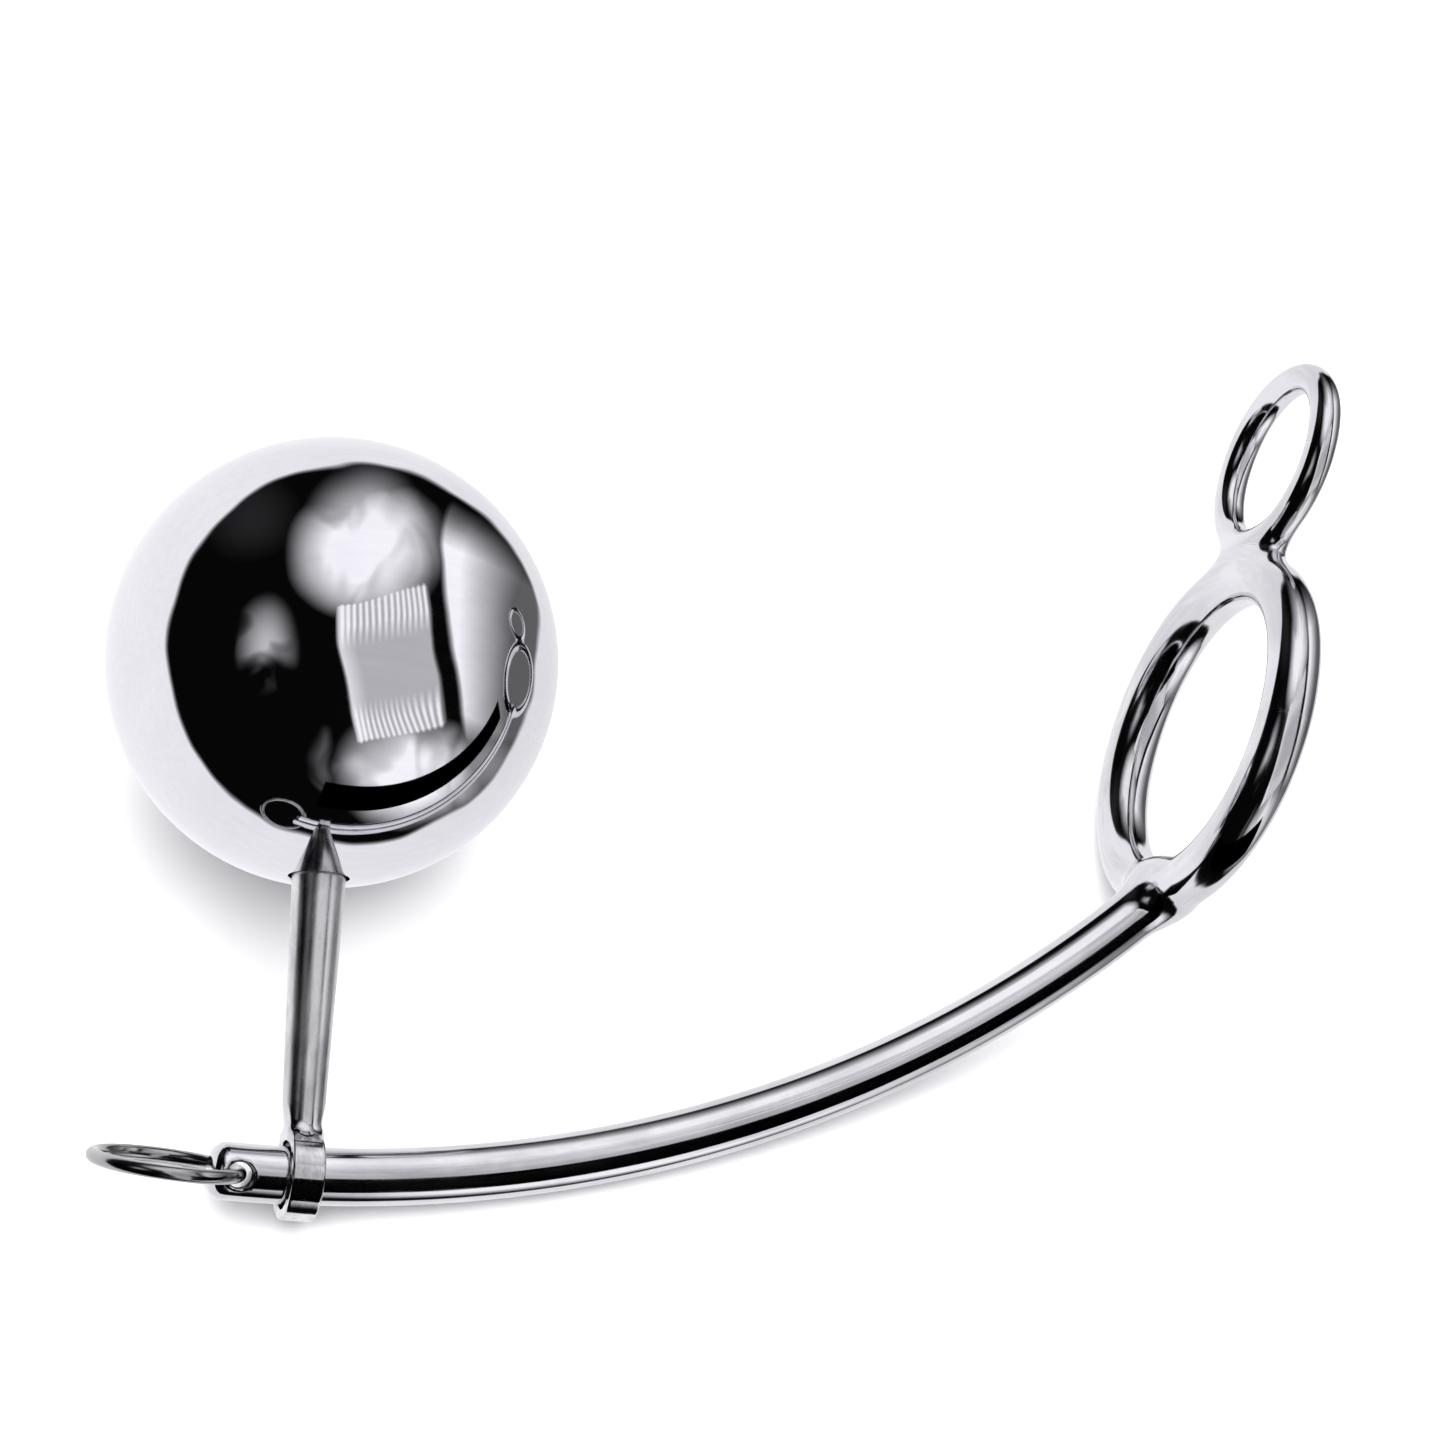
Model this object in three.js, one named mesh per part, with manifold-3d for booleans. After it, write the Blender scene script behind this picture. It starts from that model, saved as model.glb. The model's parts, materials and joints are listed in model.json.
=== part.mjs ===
// Polished steel ball-and-ring hook: a hollow ball on a tapered stem that slides and swings on a
// curved round bar. The bar carries a large ring with a small ring on top of it at one end, and
// a wire ring through a cross hole at the other.
//
// The hook is drawn upright in its own frame and then laid on its side, the way it rests on a
// table. In the hook's frame the origin is on the bar's axis at the stem's eye, +X runs along
// the bar towards the big ring, +Z up the stem, and the bar's bend lies in the XZ plane.
// Lengths are in millimetres.

import * as THREE from 'three';
import { mergeVertices } from 'three/addons/utils/BufferGeometryUtils.js';
import Module from 'manifold-3d';

const degrees = THREE.MathUtils.degToRad;

// Gaps between pieces that touch or run on each other
const joinGap = 0.3;

// Curved bar: a plain round bar bent to one arc about a centre straight above the eye
const barRadius = 4;
const bendRadius = 200;
const barStart = -12.7; // arc lengths along the bar's axis, from the eye
const barEnd = 129;
const barEndFaceRadius = 1.8;
const barEndRounding = barRadius - barEndFaceRadius;
const crossHoleAt = -9;
const crossHoleRadius = 1.75;
const crossHoleTurn = degrees(7); // the hole's turn about the bar from square to the bend

// Big ring, welded across the bar's end, and small ring on top of it
const ringMeetsBarAt = 143; // arc length where the bar's axis meets the ring's centre line
const ringLean = degrees(76); // rise of the rings' plane from the X axis
const bigRingRadius = 25; // to the middle of the round section
const bigRingThickness = 8;
const smallRingRadius = 13.8;
const smallRingThickness = 4.8;
const ringOverlap = 0.3; // how far the small ring is sunk into the big one
const weldEndRadius = 5;
const weldDepth = 10.2;

// Wire ring through the cross hole
const wireRingRadius = 10;
const wireThickness = 2;
const wireRingSwing = degrees(4); // its swing from the line of the bar

// Stem with its eye
const eyeBoreRadius = 4.6;
const eyeRadius = 6.2;
const eyeWidth = 4.6;
const eyeChamfer = 0.35;
const stemLean = degrees(2.5); // tilt towards the big ring, out of square to the bar
const stemSwing = degrees(9.8); // turn about the bar, out of the plane of the bend
const neckTop = 9.6;
const neckScoopRadius = 6;
const neckScoopHeight = 5.2;
const stemBottomRadius = 3.0;
const stemTopRadius = 3.85;
const stemShoulder = 44.4; // heights above the bar's axis
const threadRadius = 3.0;
const threadEnd = 56.5;

// Ball: a hollow shell with a threaded bush behind its one opening
const ballHeight = 74.5;
const ballRadius = 32.5;
const ballWall = 1.5;
const ballOpeningRadius = 4.3;
const bushRadius = 7;
const bushBoreRadius = 3.4;
const bushLength = 14;

// How the hook lies on its side: roll about X, then pitch about Y
const lyingRoll = degrees(-59.3);
const lyingPitch = degrees(6.4);

const wasm = await Module();
wasm.setup();

function toSolid(geometry) {
  const bare = geometry.index ? geometry.clone() : mergeVertices(geometry);
  bare.deleteAttribute('normal');
  bare.deleteAttribute('uv');
  const merged = mergeVertices(bare, 1e-4);
  return new wasm.Manifold(new wasm.Mesh({
    numProp: 3,
    vertProperties: new Float32Array(merged.attributes.position.array),
    triVerts: new Uint32Array(merged.index.array),
  }));
}

function toGeometry(solid) {
  const { vertProperties, triVerts } = solid.getMesh();
  const geometry = new THREE.BufferGeometry();
  geometry.setAttribute('position', new THREE.BufferAttribute(new Float32Array(vertProperties), 3));
  geometry.setIndex(new THREE.BufferAttribute(new Uint32Array(triVerts), 1));
  geometry.computeVertexNormals();
  return geometry;
}

const cut = (geometry, ...tools) =>
  toGeometry(tools.reduce((solid, tool) => solid.subtract(toSolid(tool)), toSolid(geometry)));

// A turned body about the Y axis; the profile runs from bottom to top as [radius, height]
const turned = (profile, segments) =>
  new THREE.LatheGeometry(profile.map(([r, h]) => new THREE.Vector2(r, h)), segments);

// Points of an arc in the profile plane, from one angle to another
function arcProfile(centreR, centreH, radius, from, to, steps) {
  return Array.from({ length: steps + 1 }, (_, i) => {
    const angle = from + (to - from) * i / steps;
    return [centreR + radius * Math.cos(angle), centreH + radius * Math.sin(angle)];
  });
}

// The bar's axis at an arc length, and its direction there
const onBar = (length) => {
  const angle = length / bendRadius;
  return new THREE.Vector3(bendRadius * Math.sin(angle), 0, bendRadius * (1 - Math.cos(angle)));
};

// Bends a turned body so that its Y axis follows the bar's axis
function bentAlongBar(geometry) {
  const position = geometry.attributes.position;
  for (let i = 0; i < position.count; i += 1) {
    const angle = position.getY(i) / bendRadius;
    const reach = bendRadius - position.getX(i); // distance from the centre of the bend
    position.setXYZ(i, reach * Math.sin(angle), position.getZ(i), bendRadius - reach * Math.cos(angle));
  }
  return geometry;
}

// The rings' plane holds the Y axis and the line that rises at ringLean; +Z is its normal here
const ringAcross = new THREE.Vector3(Math.cos(ringLean), 0, Math.sin(ringLean));
const ringBasis = new THREE.Matrix4().makeBasis(
  ringAcross, new THREE.Vector3(0, 1, 0),
  ringAcross.clone().cross(new THREE.Vector3(0, 1, 0)),
);
const bigRingCentre = onBar(ringMeetsBarAt).addScaledVector(ringAcross, bigRingRadius);
const smallRingRise = bigRingRadius + bigRingThickness / 2
  + smallRingRadius + smallRingThickness / 2 - ringOverlap;

// Ring-shaped cutters and bodies in the rings' own plane, rising along X from the big ring
const bigRingShape = (extra = 0) =>
  new THREE.TorusGeometry(bigRingRadius, bigRingThickness / 2 + extra, 16, 64);
const smallRingShape = (extra = 0) =>
  new THREE.TorusGeometry(smallRingRadius, smallRingThickness / 2 + extra, 12, 48)
    .translate(smallRingRise, 0, 0);

function curvedBar() {
  const rounding = arcProfile(barEndFaceRadius, barStart + barEndRounding, barEndRounding,
    -Math.PI / 2, 0, 4);
  const straight = [];
  const stretches = 18;
  const firstStretch = barStart + barEndRounding;
  for (let i = 1; i <= stretches; i += 1) {
    straight.push([barRadius, firstStretch + (barEnd - firstStretch) * i / stretches]);
  }
  const bar = bentAlongBar(turned([[0, barStart], ...rounding, ...straight, [0, barEnd]], 24));
  const hole = new THREE.CylinderGeometry(crossHoleRadius, crossHoleRadius, 4 * barRadius, 20)
    .rotateX(crossHoleTurn)
    .translate(...onBar(crossHoleAt).toArray());
  return cut(bar, hole);
}

// The welded tip that joins the bar to the big ring, flaring out to the ring's surface
function barWeld() {
  const start = barEnd + joinGap;
  const steps = 6;
  const flare = Array.from({ length: steps + 1 }, (_, i) => {
    const t = i / steps;
    return [barRadius + (weldEndRadius - barRadius) * t * t, start + weldDepth * t];
  });
  const plug = bentAlongBar(turned([[0, start], ...flare, [0, start + weldDepth]], 24));
  const ring = bigRingShape(joinGap).applyMatrix4(ringBasis).translate(...bigRingCentre.toArray());
  return cut(plug, ring);
}

// The weld that fills the cusp beside the point where the two rings touch
function ringWeld(side) {
  const block = new THREE.BoxGeometry(4, 4, 2.6)
    .translate(bigRingRadius + bigRingThickness / 2, side * 6.8, 0);
  return cut(block, bigRingShape(joinGap), smallRingShape(joinGap));
}

function stemNeck() {
  const neck = turned([
    [0, eyeRadius - 0.6], [stemBottomRadius, eyeRadius - 0.6], [stemBottomRadius, neckTop], [0, neckTop],
  ], 28).rotateX(Math.PI / 2);
  const eye = new THREE.CylinderGeometry(eyeRadius + joinGap, eyeRadius + joinGap, 20, 56)
    .rotateZ(Math.PI / 2);
  const scoops = [-1, 1].map((side) =>
    new THREE.CylinderGeometry(neckScoopRadius, neckScoopRadius, 20, 48)
      .translate(side * (eyeWidth / 2 + neckScoopRadius), 0, neckScoopHeight));
  return cut(neck, eye, ...scoops);
}

function stemRod() {
  const bottom = neckTop + joinGap;
  return turned([
    [0, bottom], [stemBottomRadius, bottom],
    [stemTopRadius, stemShoulder - 0.3], [stemTopRadius - 0.3, stemShoulder], [0, stemShoulder],
  ], 28).rotateX(Math.PI / 2);
}

function stemThread() {
  const bottom = stemShoulder + joinGap;
  return turned([
    [0, bottom], [threadRadius, bottom], [threadRadius, threadEnd - 0.8],
    [threadRadius - 0.8, threadEnd], [0, threadEnd],
  ], 20).rotateX(Math.PI / 2);
}

function stemEye() {
  const half = eyeWidth / 2;
  const c = eyeChamfer;
  return turned([
    [eyeBoreRadius + c, -half], [eyeRadius - c, -half], [eyeRadius, c - half],
    [eyeRadius, half - c], [eyeRadius - c, half], [eyeBoreRadius + c, half],
    [eyeBoreRadius, half - c], [eyeBoreRadius, c - half], [eyeBoreRadius + c, -half],
  ], 40).rotateZ(-Math.PI / 2);
}

// The shell's opening looks down the stem, towards the eye
function ballShell() {
  const inner = ballRadius - ballWall;
  const outerEdge = -Math.acos(ballOpeningRadius / ballRadius);
  const innerEdge = -Math.acos(ballOpeningRadius / inner);
  const outside = arcProfile(0, 0, ballRadius, outerEdge, Math.PI / 2, 26);
  const inside = arcProfile(0, 0, inner, Math.PI / 2, innerEdge, 14);
  outside[outside.length - 1][0] = 0;
  inside[0][0] = 0;
  // starts and ends on the axis: up the outside from the pole is the reverse of this order
  const profile = [...inside, ...outside];
  return turned(profile, 52).rotateX(Math.PI / 2);
}

function ballBush() {
  const bottom = stemShoulder + joinGap - ballHeight;
  const top = bottom + bushLength;
  return turned([
    [bushBoreRadius, bottom], [bushRadius, bottom], [bushRadius, top], [bushBoreRadius, top],
    [bushBoreRadius, bottom],
  ], 28).rotateX(Math.PI / 2);
}

const polished = { color: 0xd6d6dc, roughness: 0.06, metalness: 1 };
const satin = { color: 0xb9b7bd, roughness: 0.32, metalness: 1 };
const wire = { color: 0xc2c0c4, roughness: 0.22, metalness: 1 };

function piece(name, geometry, look) {
  const mesh = new THREE.Mesh(geometry, new THREE.MeshStandardMaterial(look));
  mesh.name = name;
  return mesh;
}

const group = (...children) => new THREE.Group().add(...children);

const rings = group(
  piece('big_ring', bigRingShape(), polished),
  piece('small_ring', cut(smallRingShape(), bigRingShape(joinGap)), polished),
  piece('ring_weld_left', ringWeld(1), polished),
  piece('ring_weld_right', ringWeld(-1), polished),
);
rings.applyMatrix4(ringBasis);
rings.position.copy(bigRingCentre);

// The ring hangs on the cross hole's own axis, with its centre a little inside its own radius
// so that the wire bows equally to both sides of the hole
const wireBow = wireRingRadius - Math.sqrt(wireRingRadius ** 2 - barRadius ** 2);
const wireRing = group(
  piece('end_ring', new THREE.TorusGeometry(wireRingRadius, wireThickness / 2, 10, 48)
    .translate(wireBow / 2 - wireRingRadius, 0, 0), wire),
);
wireRing.rotation.set(crossHoleTurn, wireRingSwing, 0, 'XYZ');
wireRing.position.copy(onBar(crossHoleAt));

const ball = group(
  piece('ball_shell', ballShell(), polished),
  piece('ball_bush', ballBush(), satin),
);
ball.name = 'ball_centre';
ball.position.z = ballHeight;

const stem = group(
  piece('stem_neck', stemNeck(), satin),
  piece('stem_rod', stemRod(), satin),
  piece('stem_thread', stemThread(), satin),
  ball,
);
stem.rotation.x = -stemSwing;

const eye = group(piece('stem_eye', stemEye(), satin), stem);
eye.rotation.y = stemLean;

const hook = group(
  piece('curved_bar', curvedBar(), polished),
  piece('bar_weld', barWeld(), polished),
  rings, wireRing, eye,
);
hook.rotation.set(lyingRoll, lyingPitch, 0, 'YXZ');

// The lowest point rests at z = 0, under the middle of the footprint
const box = new THREE.Box3().setFromObject(hook, true);
const middle = box.getCenter(new THREE.Vector3());
hook.position.set(-middle.x, -middle.y, -box.min.z);

export default group(hook);
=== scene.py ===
import json
import math

import bpy
import numpy as np
from mathutils import Matrix, Vector


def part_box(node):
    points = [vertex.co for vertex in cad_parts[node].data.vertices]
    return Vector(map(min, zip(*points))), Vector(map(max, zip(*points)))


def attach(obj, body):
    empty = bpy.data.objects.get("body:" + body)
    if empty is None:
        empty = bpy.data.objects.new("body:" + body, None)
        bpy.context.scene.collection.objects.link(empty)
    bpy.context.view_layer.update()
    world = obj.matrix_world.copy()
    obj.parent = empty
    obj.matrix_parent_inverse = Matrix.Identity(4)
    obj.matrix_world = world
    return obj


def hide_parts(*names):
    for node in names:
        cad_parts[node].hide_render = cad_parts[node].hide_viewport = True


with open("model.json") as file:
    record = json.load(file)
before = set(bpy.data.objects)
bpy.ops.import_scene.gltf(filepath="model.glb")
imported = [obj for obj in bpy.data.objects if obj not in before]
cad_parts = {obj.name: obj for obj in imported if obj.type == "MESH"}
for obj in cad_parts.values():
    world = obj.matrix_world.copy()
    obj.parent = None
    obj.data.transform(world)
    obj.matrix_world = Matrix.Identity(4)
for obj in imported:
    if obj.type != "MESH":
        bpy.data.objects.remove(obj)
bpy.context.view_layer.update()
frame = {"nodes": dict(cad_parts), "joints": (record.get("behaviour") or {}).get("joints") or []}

# ---------------------------------------------------------------------------------------------
# Where the hook's own frame lies in the row frame. In the hook's frame, in millimetres, the
# origin is on the bar's axis at the stem's eye, +X runs along the bar, +Z up the stem and the
# bar is bent in the XZ plane.
# ---------------------------------------------------------------------------------------------
MM = 0.001
joints = {j["name"]: j for j in frame["joints"]}


def unit(v):
    v = np.asarray(v, float)
    return v / np.linalg.norm(v)


EYE = np.array(joints["stem_swing"]["pos_m"]) / MM
BEND_CENTRE = np.array(joints["eye_travel"]["pos_m"]) / MM
HOOK_Y = -unit(joints["eye_travel"]["axis"])
HOOK_Z = unit(BEND_CENTRE - EYE)
HOOK_X = np.cross(HOOK_Y, HOOK_Z)
HOOK = np.array([HOOK_X, HOOK_Y, HOOK_Z])  # rows are the hook's axes
STEM_X = unit(joints["stem_swing"]["axis"])
STEM_Z = unit(joints["ball_turn"]["axis"])
STEM = np.array([STEM_X, np.cross(STEM_Z, STEM_X), STEM_Z])
BALL_CENTRE = np.array(joints["ball_turn"]["pos_m"]) / MM
BALL_HEIGHT = float((BALL_CENTRE - EYE) @ STEM_Z)
WIRE_Y = unit(joints["end_ring_swing"]["axis"])
WIRE_HINGE = np.array(joints["end_ring_swing"]["pos_m"]) / MM

# Sizes, in millimetres
BAR_R, BEND_R, BAR_START, RING_AT = 4.0, 200.0, -12.7, 143.0
BAR_END_ROUNDING = 2.2
BAR_END = 129.0  # where the bar's plain length ends, before the weld
HOLE_AT, HOLE_R, HOLE_TURN = -9.0, 1.75, math.radians(7)
RING_LEAN, BIG_R, BIG_T, SMALL_R, SMALL_T = math.radians(76), 25.0, 4.0, 13.8, 2.4
RING_OVERLAP = 0.3
RING_WELD, BAR_WELD, HOLE_RIM = 6.5, 5.0, 0.8
WIRE_R, WIRE_T = 10.0, 1.0
EYE_IN, EYE_OUT, EYE_W, EYE_EDGE = 4.6, 6.2, 4.6, 0.35
STEM_R0, STEM_R1, STEM_Z0, STEM_TOP = 3.0, 3.85, 9.9, 44.3
SCOOP_R, SCOOP_Z, SCOOP_STRETCH, STEM_EDGE = 7.0, 5.6, 0.8, 0.5
BALL_R, BALL_WALL, OPENING_R = 32.5, 1.5, 4.3


def to_row(points, axes, origin):
    """Millimetres in a local frame to metres in the row frame."""
    return (np.asarray(points) @ axes + origin) * MM


# ---------------------------------------------------------------------------------------------
# Meshes
# ---------------------------------------------------------------------------------------------
def make_piece(name, verts, faces, normals=None, laid_out=None):
    mesh = bpy.data.meshes.new(name)
    mesh.from_pydata([tuple(v) for v in verts], [], [tuple(f) for f in faces])
    mesh.validate()
    mesh.update()
    mesh.polygons.foreach_set("use_smooth", [True] * len(mesh.polygons))
    if laid_out is not None:
        layer = mesh.attributes.new("laid_out", "FLOAT_VECTOR", "POINT")
        layer.data.foreach_set("vector", np.asarray(laid_out, np.float32).ravel())
    if normals is not None:
        mesh.normals_split_custom_set_from_vertices([tuple(n) for n in normals])
    piece = bpy.data.objects.new(name, mesh)
    bpy.context.scene.collection.objects.link(piece)
    return piece


def smooth_union(a, b, k):
    h = np.maximum(k - np.abs(a - b), 0) / k
    return np.minimum(a, b) - h * h * k / 4


def smooth_cut(a, b, k):
    """Both a and b, with the edge between them rounded."""
    return -smooth_union(-a, -b, k)


def gradient(sdf, p, step=0.02):
    columns = []
    for i in range(3):
        d = np.zeros(3)
        d[i] = step
        columns.append((sdf(p + d) - sdf(p - d)) / (2 * step))
    return np.stack(columns, axis=1)


def surface_net(sdf, low, high, cell, relax=4):
    """The closed surface where sdf is zero, as quads of about cell, in local millimetres."""
    low, high = np.asarray(low, float), np.asarray(high, float)
    count = np.ceil((high - low) / cell).astype(int) + 1
    xs, ys, zs = (low[i] + cell * np.arange(count[i]) for i in range(3))
    yy, zz = np.meshgrid(ys, zs, indexing="ij")
    sheet = np.stack([np.zeros(yy.size), yy.ravel(), zz.ravel()], axis=1)
    value = np.empty(count, np.float32)
    for i, x in enumerate(xs):
        sheet[:, 0] = x
        value[i] = sdf(sheet).reshape(count[1], count[2])
    inside = value < 0
    corners = [inside[a:count[0] - 1 + a, b:count[1] - 1 + b, c:count[2] - 1 + c]
               for a in (0, 1) for b in (0, 1) for c in (0, 1)]
    some, every = corners[0].copy(), corners[0].copy()
    for corner in corners[1:]:
        some |= corner
        every &= corner
    mixed = some & ~every
    index = -np.ones(mixed.shape, np.int64)
    index[mixed] = np.arange(int(mixed.sum()))
    points = low + (np.argwhere(mixed) + 0.5) * cell
    quads = []
    for axis in range(3):
        b, c = (axis + 1) % 3, (axis + 2) % 3
        first = np.take(inside, range(count[axis] - 1), axis)
        second = np.take(inside, range(1, count[axis]), axis)
        for flip, edges in ((False, first & ~second), (True, ~first & second)):
            at = np.argwhere(edges)
            at = at[(at[:, b] > 0) & (at[:, c] > 0)
                    & (at[:, b] < count[b] - 1) & (at[:, c] < count[c] - 1)]
            ring = []
            for db, dc in ((-1, -1), (0, -1), (0, 0), (-1, 0)):
                cell_at = at.copy()
                cell_at[:, b] += db
                cell_at[:, c] += dc
                ring.append(index[cell_at[:, 0], cell_at[:, 1], cell_at[:, 2]])
            quad = np.stack(ring, axis=1)
            quads.append(quad[:, ::-1] if flip else quad)
    quads = np.concatenate(quads)

    def settle(p, rounds):
        for _ in range(rounds):
            g = gradient(sdf, p)
            move = sdf(p)[:, None] * g / np.maximum((g * g).sum(1), 0.2)[:, None]
            p = p - np.clip(move, -cell, cell)
        return p

    points = settle(points, 3)
    for _ in range(relax):
        total, share = np.zeros_like(points), np.zeros(len(points))
        for i in range(4):
            for j in (1, 3):
                np.add.at(total, quads[:, i], points[quads[:, (i + j) % 4]])
                np.add.at(share, quads[:, i], 1)
        points = settle(points + 0.6 * (total / share[:, None] - points), 1)
    points = settle(points, 2)
    g = gradient(sdf, points)
    return points, quads, g / np.linalg.norm(g, axis=1)[:, None]


def revolved(profile, around):
    """A turned body about Z from (radius, height) points; end points on the axis become poles."""
    verts, faces, rows = [], [], []
    for r, h in profile:
        if r < 1e-6:
            rows.append([len(verts)] * around)
            verts.append((0.0, 0.0, h))
        else:
            rows.append(list(range(len(verts), len(verts) + around)))
            for i in range(around):
                a = 2 * math.pi * i / around
                verts.append((r * math.cos(a), r * math.sin(a), h))
    for low, high in zip(rows[:-1], rows[1:]):
        for i in range(around):
            j = (i + 1) % around
            ids = list(dict.fromkeys([low[i], low[j], high[j], high[i]]))
            if len(ids) > 2:
                faces.append(ids)
    return np.array(verts), faces


# ---------------------------------------------------------------------------------------------
# Bar, big ring, small ring and their polished welds: one welded body
# ---------------------------------------------------------------------------------------------
def on_bar(length):
    a = length / BEND_R
    return np.array([BEND_R * math.sin(a), 0.0, BEND_R * (1 - math.cos(a))])


RING_ACROSS = np.array([math.cos(RING_LEAN), 0.0, math.sin(RING_LEAN)])
RING_NORMAL = np.cross(RING_ACROSS, (0, 1, 0))
BIG_CENTRE = on_bar(RING_AT) + BIG_R * RING_ACROSS
SMALL_CENTRE = BIG_CENTRE + (BIG_R + BIG_T + SMALL_R + SMALL_T - RING_OVERLAP) * RING_ACROSS
HOLE_CENTRE = on_bar(HOLE_AT)
HOLE_AXIS = np.array([0.0, math.cos(HOLE_TURN), math.sin(HOLE_TURN)])


def along_bar(p):
    """Arc length along the bar, distance out from its axis, and outward part of that."""
    reach = np.hypot(p[:, 0], BEND_R - p[:, 2])
    length = BEND_R * np.arctan2(p[:, 0], BEND_R - p[:, 2])
    outward = reach - BEND_R
    return length, np.hypot(outward, p[:, 1]), outward


def bar_sdf(p):
    length, off, _ = along_bar(p)
    q = BAR_END_ROUNDING
    side = off - (BAR_R - q)
    end = np.maximum(BAR_START + q - length, length - RING_AT)
    return (np.minimum(np.maximum(side, end), 0)
            + np.hypot(np.maximum(side, 0), np.maximum(end, 0)) - q)


def in_ring(p, centre):
    d = p - centre
    return d @ RING_ACROSS, d[:, 1], d @ RING_NORMAL


def ring_sdf(p, centre, radius, thickness):
    a, b, c = in_ring(p, centre)
    return np.hypot(np.hypot(a, b) - radius, c) - thickness


def frame_sdf(p):
    rings = smooth_union(ring_sdf(p, BIG_CENTRE, BIG_R, BIG_T),
                         ring_sdf(p, SMALL_CENTRE, SMALL_R, SMALL_T), RING_WELD)
    body = smooth_union(bar_sdf(p), rings, BAR_WELD)
    d = p - HOLE_CENTRE
    hole = np.linalg.norm(d - np.outer(d @ HOLE_AXIS, HOLE_AXIS), axis=1) - HOLE_R
    return smooth_cut(body, -hole, HOLE_RIM)


def frame_laid_out(p):
    """Each point with the steel straightened out, so that polishing lines can run along it."""
    length, _, outward = along_bar(p)
    bar = np.stack([length, p[:, 1], outward], axis=1)
    out = bar.copy()
    near = bar_sdf(p)
    for centre, radius, thickness in ((BIG_CENTRE, BIG_R, BIG_T), (SMALL_CENTRE, SMALL_R, SMALL_T)):
        a, b, c = in_ring(p, centre)
        around = radius * (np.arctan2(a, b) + 3)
        ring = np.stack([around, np.hypot(a, b) - radius, c], axis=1)
        d = ring_sdf(p, centre, radius, thickness)
        nearer = d < near
        out[nearer] = ring[nearer]
        near = np.minimum(near, d)
    return out * MM


FINE = 0.55
points, quads, normals = surface_net(frame_sdf, (-14.5, -31, -6), (157, 31, 137), FINE)
steel_frame = make_piece("bar_and_rings", to_row(points, HOOK, EYE), quads,
                         normals @ HOOK, frame_laid_out(points))
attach(steel_frame, "frame")
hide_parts("curved_bar", "bar_weld", "big_ring", "small_ring",
            "ring_weld_left", "ring_weld_right")


# ---------------------------------------------------------------------------------------------
# Stem with its scooped neck and eye
# ---------------------------------------------------------------------------------------------
def stem_sdf(p):
    x, y, z = p[:, 0], p[:, 1], p[:, 2]
    radius = STEM_R0 + (STEM_R1 - STEM_R0) * np.clip((z - STEM_Z0) / (STEM_TOP - STEM_Z0), 0, 1)
    rod = np.hypot(x, y) - radius
    rod = smooth_cut(rod, z - STEM_TOP, STEM_EDGE)
    rod = np.maximum(rod, EYE_OUT - 1.2 - z)
    scoop = SCOOP_R - np.hypot(np.abs(x) - EYE_W / 2 - SCOOP_R, (z - SCOOP_Z) * SCOOP_STRETCH)
    rod = smooth_cut(rod, scoop, STEM_EDGE)
    ring = np.hypot(y, z)
    q = EYE_EDGE
    a = np.abs(ring - (EYE_IN + EYE_OUT) / 2) - ((EYE_OUT - EYE_IN) / 2 - q)
    b = np.abs(x) - (EYE_W / 2 - q)
    band = np.minimum(np.maximum(a, b), 0) + np.hypot(np.maximum(a, 0), np.maximum(b, 0)) - q
    body = smooth_union(rod, band, 1.6)
    return smooth_cut(body, EYE_IN - ring, 0.4)


STEM_CELL = 0.22
points, quads, normals = surface_net(stem_sdf, (-4.3, -6.8, -6.8), (4.3, 6.8, 45.2), STEM_CELL)
stem = make_piece("stem_and_eye", to_row(points, STEM, EYE), quads, normals @ STEM,
                  points[:, [2, 0, 1]] * MM)
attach(stem, "stem")
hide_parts("stem_eye", "stem_neck", "stem_rod")


# ---------------------------------------------------------------------------------------------
# Ball: a hollow shell, with a rounded rim round its opening
# ---------------------------------------------------------------------------------------------
def ball_profile():
    inner, edge = BALL_R - BALL_WALL, 0.35
    rim = -math.acos((OPENING_R + edge) / BALL_R)
    outside = [(BALL_R * math.cos(a), BALL_R * math.sin(a))
               for a in np.linspace(rim, math.pi / 2, 150)]
    outside[-1] = (0.0, BALL_R)
    corner_h = outside[0][1] + edge
    corner = [(OPENING_R + edge - edge * math.sin(t), corner_h - edge * math.cos(t))
              for t in np.linspace(math.pi / 2, 0.12, 6)]
    start = -math.acos(OPENING_R / inner)
    inside = [(inner * math.cos(a), inner * math.sin(a))
              for a in np.linspace(math.pi / 2, start, 60)]
    inside[0] = (0.0, inner)
    return inside + corner + outside


verts, faces = revolved(ball_profile(), 240)
ball = make_piece("ball", to_row(verts, STEM, BALL_CENTRE), faces, laid_out=verts * MM)
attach(ball, "ball")
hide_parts("ball_shell")


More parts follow.
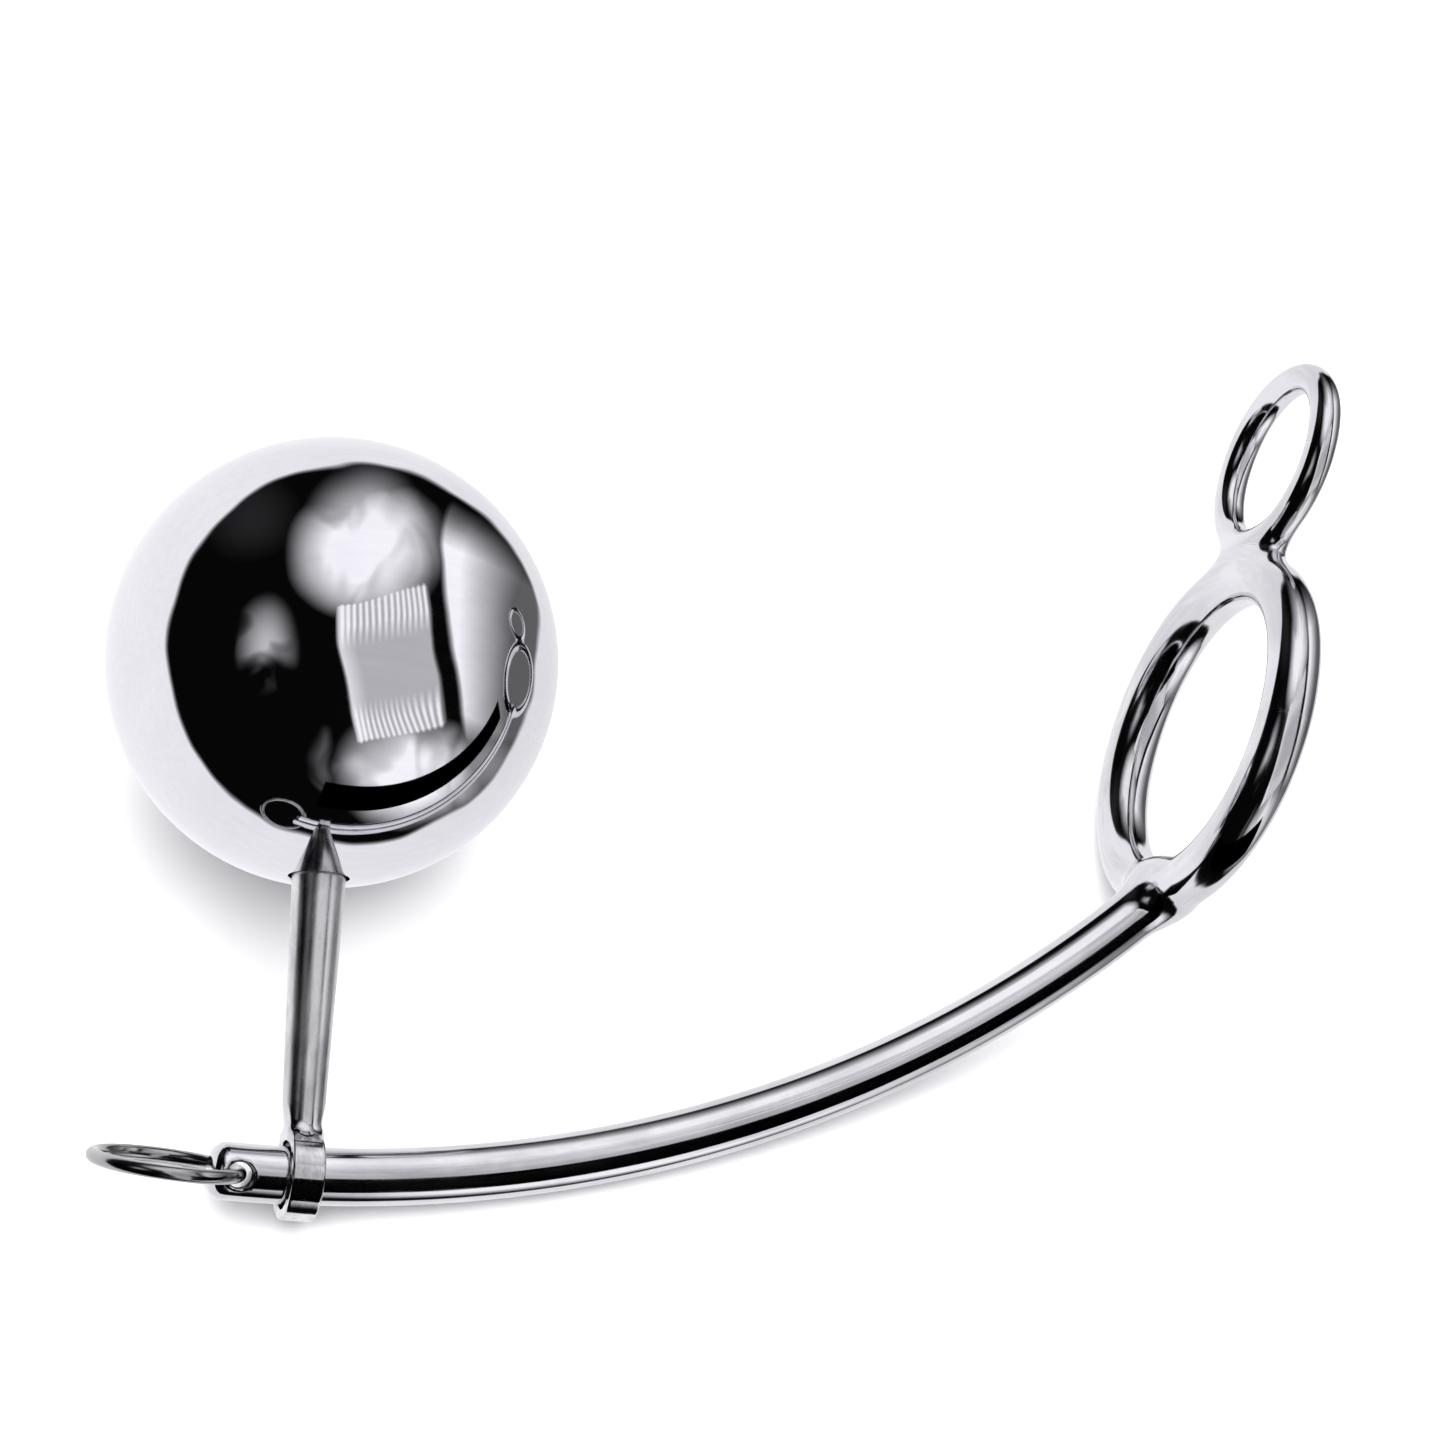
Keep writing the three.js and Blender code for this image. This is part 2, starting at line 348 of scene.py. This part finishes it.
# ---------------------------------------------------------------------------------------------
# Wire ring
# ---------------------------------------------------------------------------------------------
def wire_ring():
    low, high = (Vector(v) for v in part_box("end_ring"))
    middle = np.array((low + high) / 2) / MM
    outward = unit(middle - WIRE_HINGE - ((middle - WIRE_HINGE) @ WIRE_Y) * WIRE_Y)
    bow = WIRE_R - math.sqrt(WIRE_R ** 2 - BAR_R ** 2)
    centre = WIRE_HINGE + (WIRE_R - bow / 2) * outward
    normal = np.cross(outward, WIRE_Y)
    around, section = 180, 28
    verts, faces, laid = [], [], []
    for i in range(around):
        a = 2 * math.pi * i / around
        spoke = math.cos(a) * outward + math.sin(a) * WIRE_Y
        for j in range(section):
            t = 2 * math.pi * j / section
            verts.append((centre + (WIRE_R + WIRE_T * math.cos(t)) * spoke
                          + WIRE_T * math.sin(t) * normal) * MM)
            laid.append((WIRE_R * a * MM, math.cos(t) * MM, math.sin(t) * MM))
    for i in range(around):
        for j in range(section):
            a, b = i * section, (i + 1) % around * section
            k = (j + 1) % section
            faces.append((a + j, b + j, b + k, a + k))
    return verts, faces, laid


verts, faces, laid = wire_ring()
wire = make_piece("wire_ring", verts, faces, laid_out=laid)
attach(wire, "wire_ring")
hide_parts("end_ring")


# ---------------------------------------------------------------------------------------------
# Steel finishes
# ---------------------------------------------------------------------------------------------
class Nodes:
    """Short names for building a node tree."""

    def __init__(self, tree):
        self.tree = tree
        tree.nodes.clear()

    def add(self, kind, values=None, **settings):
        node = self.tree.nodes.new(kind)
        for key, value in settings.items():
            setattr(node, key, value)
        for key, value in (values or {}).items():
            if isinstance(value, bpy.types.NodeSocket):
                self.tree.links.new(value, node.inputs[key])
            else:
                node.inputs[key].default_value = value
        return node

    def math(self, operation, *values):
        node = self.add("ShaderNodeMath", dict(enumerate(values)), operation=operation)
        return node.outputs[0]

    def vector(self, operation, values):
        return self.add("ShaderNodeVectorMath", values, operation=operation)

    def noise(self, vector, scale, detail=2.0, roughness=0.5, stretch=(1, 1, 1), distortion=0.0):
        place = self.add("ShaderNodeMapping", {"Vector": vector, "Scale": stretch})
        node = self.add("ShaderNodeTexNoise", {
            "Vector": place.outputs[0], "Scale": scale, "Detail": detail,
            "Roughness": roughness, "Distortion": distortion})
        return node.outputs[0]

    def remap(self, value, low, high, to_low, to_high):
        node = self.add("ShaderNodeMapRange", {
            "Value": value, "From Min": low, "From Max": high, "To Min": to_low, "To Max": to_high})
        return node.outputs[0]

    def ramp(self, value, *stops):
        node = self.add("ShaderNodeValToRGB", {"Fac": value})
        elements = node.color_ramp.elements
        while len(elements) < len(stops):
            elements.new(0.5)
        for element, (at, colour) in zip(elements, stops):
            element.position = at
            element.color = (*colour, 1.0)
        return node.outputs[0]

    def bump(self, height, strength, distance, normal=None):
        values = {"Height": height, "Strength": strength, "Distance": distance}
        if normal is not None:
            values["Normal"] = normal
        return self.add("ShaderNodeBump", values).outputs[0]


def steel(name, dark, light, rough, streak_rough, streak_bump, wave, stain=1.0, polished_to=None):
    """Polished or satin steel: polishing lines along the piece, smudges, stains, and a wavy face.

    dark and light bound the colour and rough the roughness. streak_bump and wave are heights in
    metres, and stain is how much stains dim it. Below polished_to metres along, it is polished.
    """
    material = bpy.data.materials.new(name)
    material.use_nodes = True
    n = Nodes(material.node_tree)
    laid = n.add("ShaderNodeAttribute", attribute_name="laid_out").outputs["Vector"]
    streaks = n.noise(laid, 900.0, 3.0, 0.6, (0.035, 1.0, 1.0))
    smudge = n.noise(laid, 70.0, 4.0, 0.55, distortion=0.6)
    patches = n.noise(laid, 190.0, 5.0, 0.62, (0.3, 1, 1), distortion=0.5)
    patches = n.remap(patches, 0.40, 0.58, stain, 1.0)
    level = n.math("ADD", n.math("MULTIPLY", streaks, 0.5), n.math("MULTIPLY", smudge, 0.5))
    colour = n.ramp(level, (0.30, dark), (0.70, light))
    colour = n.vector("SCALE", {0: colour, "Scale": patches}).outputs[0]
    roughness = n.math("ADD", n.remap(smudge, 0.3, 0.7, rough[0], rough[1]),
                       n.remap(streaks, 0.45, 0.75, 0.0, streak_rough))
    if polished_to is not None:
        along = n.add("ShaderNodeSeparateXYZ", {"Vector": laid}).outputs[0]
        roughness = n.math("MULTIPLY", roughness,
                           n.remap(along, polished_to, polished_to + 0.004, 0.28, 1.0))
    waves = n.noise(laid, 95.0, 1.0, 0.4, (0.6, 1, 1))
    normal = n.bump(waves, 1.0, wave)
    normal = n.bump(streaks, 1.0, streak_bump, normal)
    shader = n.add("ShaderNodeBsdfPrincipled", {
        "Base Color": colour, "Metallic": 1.0, "Roughness": roughness, "Normal": normal})
    n.add("ShaderNodeOutputMaterial", {"Surface": shader.outputs[0]})
    return material


FINISH = {
    "ball": steel("mirror_steel", (0.74, 0.735, 0.775), (0.82, 0.815, 0.85),
                  (0.018, 0.04), 0.02, 2e-7, 6e-6),
    "bar_and_rings": steel("polished_steel", (0.68, 0.68, 0.71), (0.82, 0.82, 0.845),
                           (0.04, 0.09), 0.10, 5e-6, 6e-6, 0.86),
    "stem_and_eye": steel("satin_steel", (0.58, 0.575, 0.59), (0.96, 0.955, 0.97),
                          (0.19, 0.30), 0.18, 8e-6, 6e-6, 0.70, 0.006),
    "wire_ring": steel("wire_steel", (0.36, 0.355, 0.36), (0.56, 0.555, 0.565),
                       (0.10, 0.18), 0.10, 4e-6, 4e-6, 0.8),
}
for piece in (ball, steel_frame, stem, wire):
    piece.data.materials.append(FINISH[piece.name])


def hidden_steel():
    """Machined steel for the thread and the bush, which sit inside the ball."""
    material = bpy.data.materials.new("machined_steel")
    material.use_nodes = True
    n = Nodes(material.node_tree)
    place = n.add("ShaderNodeTexCoord").outputs["Object"]
    lines = n.noise(place, 700.0, 3.0)
    shader = n.add("ShaderNodeBsdfPrincipled", {
        "Base Color": n.ramp(lines, (0.3, (0.45, 0.45, 0.46)), (0.7, (0.58, 0.58, 0.6))),
        "Metallic": 1.0, "Roughness": n.remap(lines, 0.3, 0.7, 0.28, 0.42),
        "Normal": n.bump(lines, 1.0, 1e-5)})
    n.add("ShaderNodeOutputMaterial", {"Surface": shader.outputs[0]})
    return material


machined = hidden_steel()
for node in ("stem_thread", "ball_bush"):
    mesh = frame["nodes"][node].data
    mesh.materials.clear()
    mesh.materials.append(machined)


# ---------------------------------------------------------------------------------------------
# Camera
# ---------------------------------------------------------------------------------------------
def camera_axes(azimuth, elevation, roll):
    """Right, up and back of a camera in the hook's frame; azimuth 0 looks along the hook's +Y."""
    a, e, r = (math.radians(v) for v in (azimuth, elevation, roll))
    back = np.array([math.sin(a) * math.cos(e), -math.cos(a) * math.cos(e), math.sin(e)])
    right = np.array([math.cos(a), math.sin(a), 0.0])
    up = np.cross(back, right)
    return np.array([math.cos(r) * right + math.sin(r) * up,
                     math.cos(r) * up - math.sin(r) * right, back])


CAMERA = camera_axes(-19.42, -6.92, 2.77)
CAMERA_TO_EYE = np.array([-58.40, -62.56, -482.9])  # mm right, up and back
SENSOR = 36.0  # mm
LENS = 87.197  # mm
axes = CAMERA @ HOOK
position = (EYE - CAMERA_TO_EYE @ axes) * MM
camera = bpy.data.objects.new("camera", bpy.data.cameras.new("camera"))
bpy.context.scene.collection.objects.link(camera)
camera.data.sensor_width = SENSOR
camera.data.lens = LENS
camera.data.clip_start, camera.data.clip_end = 0.01, 50.0
camera.matrix_world = Matrix.Translation(Vector(position)) @ Matrix(
    [[*row, 0.0] for row in axes.T.tolist()] + [[0.0, 0.0, 0.0, 1.0]])
bpy.context.scene.camera = camera


# ---------------------------------------------------------------------------------------------
# Floor, backdrop and studio light
# ---------------------------------------------------------------------------------------------
def flat_material(name, colour, emission=0.0):
    material = bpy.data.materials.new(name)
    material.use_nodes = True
    n = Nodes(material.node_tree)
    if emission:
        shader = n.add("ShaderNodeEmission", {"Color": (*colour, 1.0), "Strength": emission})
    else:
        shader = n.add("ShaderNodeBsdfDiffuse", {"Color": (*colour, 1.0)})
    n.add("ShaderNodeOutputMaterial", {"Surface": shader.outputs[0]})
    return material


def stage_mesh(name, verts, faces, material):
    mesh = bpy.data.meshes.new(name)
    mesh.from_pydata(verts, [], faces)
    mesh.materials.append(material)
    thing = bpy.data.objects.new(name, mesh)
    bpy.context.scene.collection.objects.link(thing)
    return thing


FLOOR, WALL, WALL_HEIGHT, WALL_SIDES = 1.25, 1.15, 4.0, 48  # the first three in metres
corners = [(x * FLOOR, y * FLOOR, 0) for x, y in ((-1, -1), (1, -1), (1, 1), (-1, 1))]
floor = stage_mesh("floor", corners, [(0, 1, 2, 3)], flat_material("floor", (0.86, 0.86, 0.87)))
floor.visible_glossy = False
turns = [2 * math.pi * i / WALL_SIDES for i in range(WALL_SIDES)]
wall = stage_mesh("backdrop", [(WALL * math.cos(a), WALL * math.sin(a), z)
                               for z in (-0.01, WALL_HEIGHT) for a in turns],
                  [(i, (i + 1) % WALL_SIDES, WALL_SIDES + (i + 1) % WALL_SIDES, WALL_SIDES + i)
                   for i in range(WALL_SIDES)],
                  flat_material("backdrop", (1.0, 1.0, 1.0), 1.02))
wall.visible_glossy = wall.visible_diffuse = wall.visible_shadow = False


def area(name, place, size, power, aim=(0, 0, 0.02)):
    light = bpy.data.objects.new(name, bpy.data.lights.new(name, "AREA"))
    light.data.shape = "DISK"
    light.data.size = size
    light.data.energy = power
    light.location = place
    light.rotation_mode = "QUATERNION"
    light.rotation_quaternion = (Vector(aim) - Vector(place)).to_track_quat("-Z", "Y")
    light.visible_glossy = False
    bpy.context.scene.collection.objects.link(light)
    return light


area("overhead", (0.0, 0.1, 1.3), 2.6, 60.0)
area("left", (-1.3, -0.4, 0.9), 1.0, 8.0)

FLAG_AWAY, FLAG_FROM, FLAG_TO, FLAG_STEPS = 34.0, -14.0, 138.0, 48


def flag():
    """A black card along the bar, unseen but mirrored: it puts the dark band on the near side."""
    rows = []
    for length in np.linspace(FLAG_FROM, FLAG_TO, FLAG_STEPS):
        place = CAMERA @ on_bar(length)
        turn = length / BEND_R
        along = CAMERA @ np.array([math.cos(turn), 0.0, math.sin(turn)])
        view = unit(-CAMERA_TO_EYE - place)
        facing = unit(view - along * (along @ view))
        raised = np.cross(facing, along)
        share = np.clip(length / BAR_END, 0, 1)
        for angle in (-0.05 - 0.20 * share, -0.54 - 0.12 * share):
            normal = math.cos(angle) * facing + math.sin(angle) * raised
            rows.append(place + FLAG_AWAY * (2 * (normal @ view) * normal - view))
    verts = (EYE + np.array(rows) @ axes) * MM
    faces = [(i, i + 1, i + 3, i + 2) for i in range(0, len(rows) - 2, 2)]
    card = stage_mesh("flag", verts.tolist(), faces, flat_material("flag", (0.0, 0.0, 0.0)))
    card.visible_camera = card.visible_diffuse = card.visible_shadow = False


flag()


def studio():
    """The room as the steel mirrors it: pale below and behind, dark in front, with soft boxes.

    Places are given on the picture that a mirror ball shows, -1 to 1 across and up.
    """
    world = bpy.data.worlds.new("studio")
    bpy.context.scene.world = world
    world.use_nodes = True
    n = Nodes(world.node_tree)
    direction = n.add("ShaderNodeTexCoord").outputs["Generated"]
    half = n.vector("ADD", {0: direction, 1: tuple(axes[2])}).outputs[0]
    half = n.vector("NORMALIZE", {0: half}).outputs[0]
    x, y = (n.vector("DOT_PRODUCT", {0: half, 1: tuple(axes[i])}).outputs["Value"] for i in (0, 1))

    def soft_edge(value, at, width):
        return n.remap(value, at - width / 2, at + width / 2, 0.0, 1.0)

    def times(*factors):
        result = factors[0]
        for factor in factors[1:]:
            result = n.math("MULTIPLY", result, factor)
        return result

    def within(value, low, high, edge):
        past = soft_edge(value, high, edge)
        return times(soft_edge(value, low, edge), n.math("SUBTRACT", 1.0, past))

    def blob(cx, cy, rx, ry, power=1.0):
        """1 at the middle of a soft ellipse, falling to 0 at its edge."""
        dx = n.math("DIVIDE", n.math("SUBTRACT", x, cx), rx)
        dy = n.math("DIVIDE", n.math("SUBTRACT", y, cy), ry)
        r2 = n.math("ADD", n.math("MULTIPLY", dx, dx), n.math("MULTIPLY", dy, dy))
        return n.math("POWER", n.math("MAXIMUM", n.math("SUBTRACT", 1.0, r2), 0.0), power)

    # The sheets hang unevenly, so every edge wanders a little
    wander = n.noise(half, 2.3, 1.5, 0.4)
    stray = n.noise(half, 2.7, 1.5, 0.4, (1, 1.3, 0.8))
    x = n.math("ADD", x, n.math("MULTIPLY", n.math("SUBTRACT", wander, 0.5), 0.10))
    y = n.math("ADD", y, n.math("MULTIPLY", n.math("SUBTRACT", stray, 0.5), 0.10))
    folds = n.noise(half, 3.2, 1.6, 0.45, (1.5, 0.8, 1.0), distortion=1.1)
    folds = n.remap(folds, 0.36, 0.60, 0.0, 1.0)

    # Pale room outside an egg-shaped dark opening round the camera
    dx = n.math("DIVIDE", n.math("SUBTRACT", x, 0.125), 0.79)
    dy = n.math("DIVIDE", n.math("SUBTRACT", y, 0.04), 0.835)
    off = n.math("SQRT", n.math("ADD", n.math("MULTIPLY", dx, dx), n.math("MULTIPLY", dy, dy)))
    room = times(soft_edge(off, 1.0, 0.03), n.remap(x, -1.0, 1.0, 0.96, 0.89))
    # A leaning panel with fine slats that show at its head and foot
    across = n.math("MULTIPLY_ADD", y, 0.123, x)
    up = n.math("MULTIPLY_ADD", x, -0.24, y)
    slats = n.math("SINE", n.math("MULTIPLY", across, 256.0))
    plain = within(up, -0.27, 0.07, 0.10)
    slats = n.math("MULTIPLY_ADD", times(slats, n.math("SUBTRACT", 1.0, plain)), 0.16, 0.84)
    slats = n.math("SUBTRACT", slats, n.math("MULTIPLY", plain, 0.12))
    panel = times(within(across, 0.106, 0.49, 0.02), within(up, -0.415, 0.246, 0.035),
                  n.math("ADD", slats, n.remap(across, 0.11, 0.19, 0.2, 0.0)))
    # A tall sheet to the right of it, fading to grey
    sloping = n.math("MULTIPLY_ADD", x, 0.5, y)
    sheet = times(soft_edge(across, 0.56, 0.03), within(sloping, -0.06, 0.90, 0.22),
                  n.remap(x, 0.58, 0.80, 1.0, 0.38))
    lights = [
        room, panel, sheet,
        times(blob(0.18, 0.49, 0.36, 0.33, 0.8), n.math("MULTIPLY_ADD", folds, 0.25, 0.95)),
        times(blob(0.12, 0.62, 0.26, 0.30, 1.2), 0.75),
        times(blob(0.36, -0.49, 0.36, 0.27, 0.8), n.math("MULTIPLY_ADD", folds, 0.3, 0.9)),
        times(blob(0.66, -0.46, 0.24, 0.20, 0.8), 0.55),
        times(blob(-0.23, 0.07, 0.17, 0.24, 1.2), folds, 0.75),
        times(blob(0.015, -0.45, 0.12, 0.19, 1.2), folds, 0.65),
        times(blob(-0.33, 0.60, 0.30, 0.26, 1.2), 0.16),
    ]
    total = 0.06
    for light in lights:
        total = n.math("MAXIMUM", total, light)
    total = n.math("POWER", total, 2.2)
    tint = n.ramp(total, (0.0, (0.0, 0.0, 0.0)), (1.0, (1.0, 0.992, 1.02)))
    background = n.add("ShaderNodeBackground", {"Color": tint, "Strength": 1.15})
    n.add("ShaderNodeOutputWorld", {"Surface": background.outputs[0]})


studio()
bpy.context.scene.view_settings.view_transform = "Standard"
